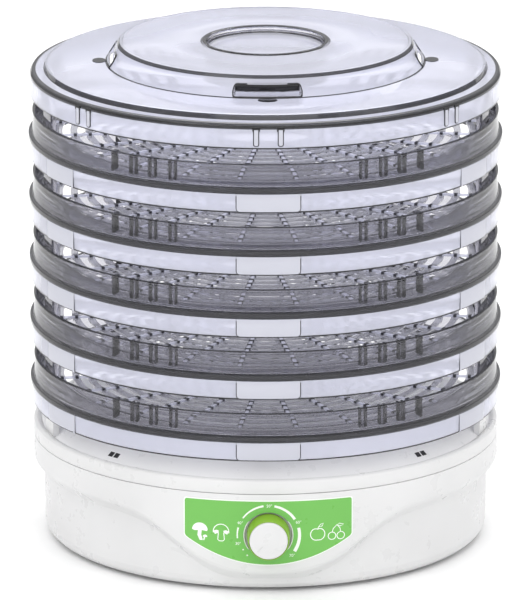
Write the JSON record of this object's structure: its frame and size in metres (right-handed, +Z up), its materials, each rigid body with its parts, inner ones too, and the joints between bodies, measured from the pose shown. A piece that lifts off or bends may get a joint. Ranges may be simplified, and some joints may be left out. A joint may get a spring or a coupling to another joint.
{
  "type": "food dehydrator",
  "caption": "Round electric food dehydrator: white fan and heater base with a dial, a stack of clear ring trays and a clear vented lid.",
  "frame": {"origin": "on the floor under the middle of the bounding box; the tower's own axis is 5.5 mm behind it, because the knob stands out at the front", "axes": "+Z up, -Y out of the front with the control panel, +X to the right seen from the front"},
  "size_m": [0.3284, 0.3394, 0.3518],
  "materials": {
    "smoky_clear_plastic": "clear, faintly smoky, moulded and polished",
    "white_plastic": "semi-gloss white",
    "green_panel": "printed panel with a satin coat",
    "green_knob": "satin moulded",
    "dark_rubber": "matt",
    "plated_steel": "zinc plated",
    "black_plastic": "matt moulded",
    "mica_card": "matt, layered",
    "resistance_wire": "oxidised",
    "brown_insulation": "satin",
    "blue_insulation": "satin",
    "white_insulation": "matt braid"
  },
  "bodies": {
    "base": {"lower_shell": "white_plastic", "top_cover": "white_plastic", "bottom_plate": "white_plastic", "outlet_grille": "white_plastic", "control_panel": "green_panel", "rubber_foot_1": "dark_rubber", "rubber_foot_2": "dark_rubber", "rubber_foot_3": "dark_rubber", "rubber_foot_4": "dark_rubber", "cord_inlet": "dark_rubber", "base_screw_1": "plated_steel", "base_screw_2": "plated_steel", "base_screw_3": "plated_steel", "base_screw_4": "plated_steel", "bracket_screw_1": "plated_steel", "bracket_screw_2": "plated_steel", "fan_motor": "plated_steel", "motor_bracket": "plated_steel", "thermal_fuse": "plated_steel", "thermostat_body": "black_plastic", "terminal_block": "black_plastic", "heater_carrier": "mica_card", "heater_coil": "resistance_wire", "wire_live": "brown_insulation", "wire_neutral": "blue_insulation", "wire_heater": "white_insulation"},
    "knob": {"knob": "green_knob", "knob_cap": "white_plastic", "thermostat_shaft": "plated_steel"},
    "fan": {"fan_impeller": "black_plastic", "motor_shaft": "plated_steel"},
    "tray_1": {"tray_1_ring": "smoky_clear_plastic", "tray_1_grid": "smoky_clear_plastic"},
    "tray_2": {"tray_2_ring": "smoky_clear_plastic", "tray_2_grid": "smoky_clear_plastic"},
    "tray_3": {"tray_3_ring": "smoky_clear_plastic", "tray_3_grid": "smoky_clear_plastic"},
    "tray_4": {"tray_4_ring": "smoky_clear_plastic", "tray_4_grid": "smoky_clear_plastic"},
    "tray_5": {"tray_5_ring": "smoky_clear_plastic", "tray_5_grid": "smoky_clear_plastic"},
    "lid": {"lid": "smoky_clear_plastic"}
  },
  "joints": [
    {"name": "knob_turn", "type": "hinge", "parent": "base", "child": "knob", "pos_m": [0, -0.1697, 0.0438], "axis": [0, 1, 0], "range_deg": [0, 270]},
    {"name": "fan_spin", "type": "hinge", "parent": "base", "child": "fan", "pos_m": [0, 0.0055, 0.066], "axis": [0, 0, 1], "continuous": true},
    {"name": "tray_1_lift", "type": "slide", "parent": "base", "child": "tray_1", "axis": [0, 0, 1], "range_m": [0, 0.06]},
    {"name": "tray_2_lift", "type": "slide", "parent": "tray_1", "child": "tray_2", "axis": [0, 0, 1], "range_m": [0, 0.06]},
    {"name": "tray_3_lift", "type": "slide", "parent": "tray_2", "child": "tray_3", "axis": [0, 0, 1], "range_m": [0, 0.06]},
    {"name": "tray_4_lift", "type": "slide", "parent": "tray_3", "child": "tray_4", "axis": [0, 0, 1], "range_m": [0, 0.06]},
    {"name": "tray_5_lift", "type": "slide", "parent": "tray_4", "child": "tray_5", "axis": [0, 0, 1], "range_m": [0, 0.06]},
    {"name": "lid_lift", "type": "slide", "parent": "tray_5", "child": "lid", "axis": [0, 0, 1], "range_m": [0, 0.06]}
  ]
}
